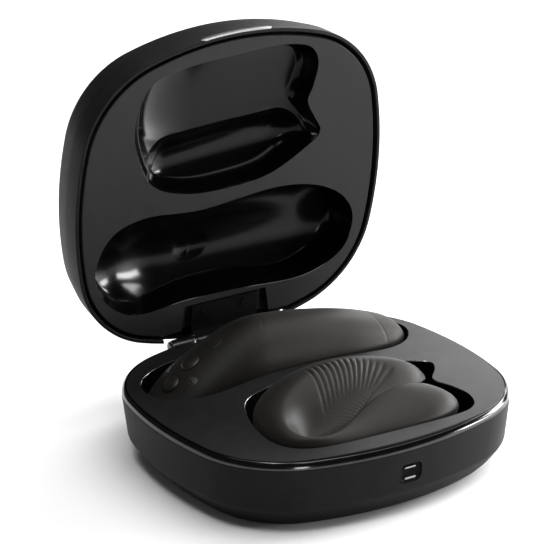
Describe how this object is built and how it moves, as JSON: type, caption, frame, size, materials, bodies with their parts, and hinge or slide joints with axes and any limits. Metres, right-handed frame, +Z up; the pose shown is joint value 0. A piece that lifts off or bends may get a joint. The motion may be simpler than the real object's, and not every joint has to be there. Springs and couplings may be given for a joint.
{
  "type": "hinged charging case",
  "caption": "Palm-sized hinged charging case, rounded square, open, with a long slim silicone unit and a folded U-shaped silicone unit seated in its wells",
  "frame": {"origin": "centre of the rubber pad under the case, on the surface it stands on", "axes": "+X to the right along the hinge, -Y to the front with the charging port, +Z up"},
  "size_m": [0.15, 0.1664, 0.1692],
  "materials": {
    "case_shell": "fine spark-textured matte",
    "ring_polish": "polished dark anodised",
    "deck_satin": "satin",
    "well_gloss": "high gloss",
    "silicone": "soft-touch silicone",
    "silicone_control": "soft-touch silicone",
    "button_silicone": "soft-touch silicone",
    "inner_plastic": "moulded",
    "steel": "satin",
    "dark_steel": "satin black coating",
    "port_steel": "bright",
    "contact_gold": "plated",
    "circuit_board": "solder mask",
    "cell_wrap": "shrink wrap",
    "magnet_nickel": "nickel plated",
    "pad_rubber": "matte",
    "weight_metal": "sintered"
  },
  "bodies": {
    "base": {"base_shell": "case_shell", "trim_ring": "ring_polish", "deck": "deck_satin", "slim_cradle": "well_gloss", "u_cradle": "well_gloss", "rubber_pad": "pad_rubber", "case_screws": "steel", "port_bezel": "case_shell", "port_contacts": "port_steel", "port_magnet": "magnet_nickel", "port_board": "circuit_board", "case_battery": "cell_wrap", "main_board": "circuit_board", "slim_pins": "contact_gold", "u_pins": "contact_gold", "base_magnets": "magnet_nickel", "hinge_bracket": "dark_steel", "hinge_pin": "steel", "bracket_screws": "steel"},
    "lid": {"hinge_leaf": "dark_steel", "leaf_screws": "dark_steel", "lid_shell": "case_shell", "thumb_plate": "ring_polish", "lid_panel": "deck_satin", "lid_slim_well": "well_gloss", "lid_u_well": "well_gloss", "lid_magnets": "magnet_nickel"},
    "slim_unit": {"slim_control_end": "silicone_control", "slim_body": "silicone", "slim_tip_cap": "silicone", "slim_chassis": "inner_plastic", "slim_battery": "cell_wrap", "slim_board": "circuit_board", "slim_motor": "steel", "slim_contacts": "contact_gold"},
    "slim_weight": {"slim_motor_weight": "weight_metal"},
    "power_button": {"slim_power_button": "button_silicone"},
    "plus_button": {"slim_plus_button": "button_silicone"},
    "minus_button": {"slim_minus_button": "button_silicone"},
    "left_button": {"slim_left_button": "button_silicone"},
    "right_button": {"slim_right_button": "button_silicone"},
    "u_unit": {"u_body": "silicone", "u_spine": "steel", "u_battery": "cell_wrap", "u_board": "circuit_board", "u_motor": "steel", "u_contacts": "contact_gold"},
    "u_weight": {"u_motor_weight": "weight_metal"}
  },
  "joints": [
    {"name": "lid_hinge", "type": "hinge", "parent": "base", "child": "lid", "pos_m": [0, 0.06905, 0.0296], "axis": [1, 0, 0], "range_deg": [0, 83.2]},
    {"name": "slim_unit_lift", "type": "slide", "parent": "base", "child": "slim_unit", "axis": [0, 0, -1], "range_m": [-0.08, 0]},
    {"name": "u_unit_lift", "type": "slide", "parent": "base", "child": "u_unit", "axis": [0, 0, -1], "range_m": [-0.06, 0]},
    {"name": "power_press", "type": "slide", "parent": "slim_unit", "child": "power_button", "axis": [0.4311, 0, -0.9023], "range_m": [0, 0.0005], "stiffness_N_per_m": 1500, "springref_m": -0.0003},
    {"name": "plus_press", "type": "slide", "parent": "slim_unit", "child": "plus_button", "axis": [0.5291, 0, -0.8486], "range_m": [0, 0.0005], "stiffness_N_per_m": 1500, "springref_m": -0.0003},
    {"name": "minus_press", "type": "slide", "parent": "slim_unit", "child": "minus_button", "axis": [0.6392, 0, -0.769], "range_m": [0, 0.0005], "stiffness_N_per_m": 1500, "springref_m": -0.0003},
    {"name": "left_press", "type": "slide", "parent": "slim_unit", "child": "left_button", "axis": [0.5567, -0.2982, -0.7754], "range_m": [0, 0.0005], "stiffness_N_per_m": 1500, "springref_m": -0.0003},
    {"name": "right_press", "type": "slide", "parent": "slim_unit", "child": "right_button", "axis": [0.5567, 0.2982, -0.7754], "range_m": [0, 0.0005], "stiffness_N_per_m": 1500, "springref_m": -0.0003},
    {"name": "slim_motor_spin", "type": "hinge", "parent": "slim_unit", "child": "slim_weight", "pos_m": [0.04, 0.031, 0.0269], "axis": [1, 0, 0], "continuous": true},
    {"name": "u_motor_spin", "type": "hinge", "parent": "u_unit", "child": "u_weight", "pos_m": [0.025, -0.0468, 0.0305], "axis": [1, 0, 0], "continuous": true}
  ]
}
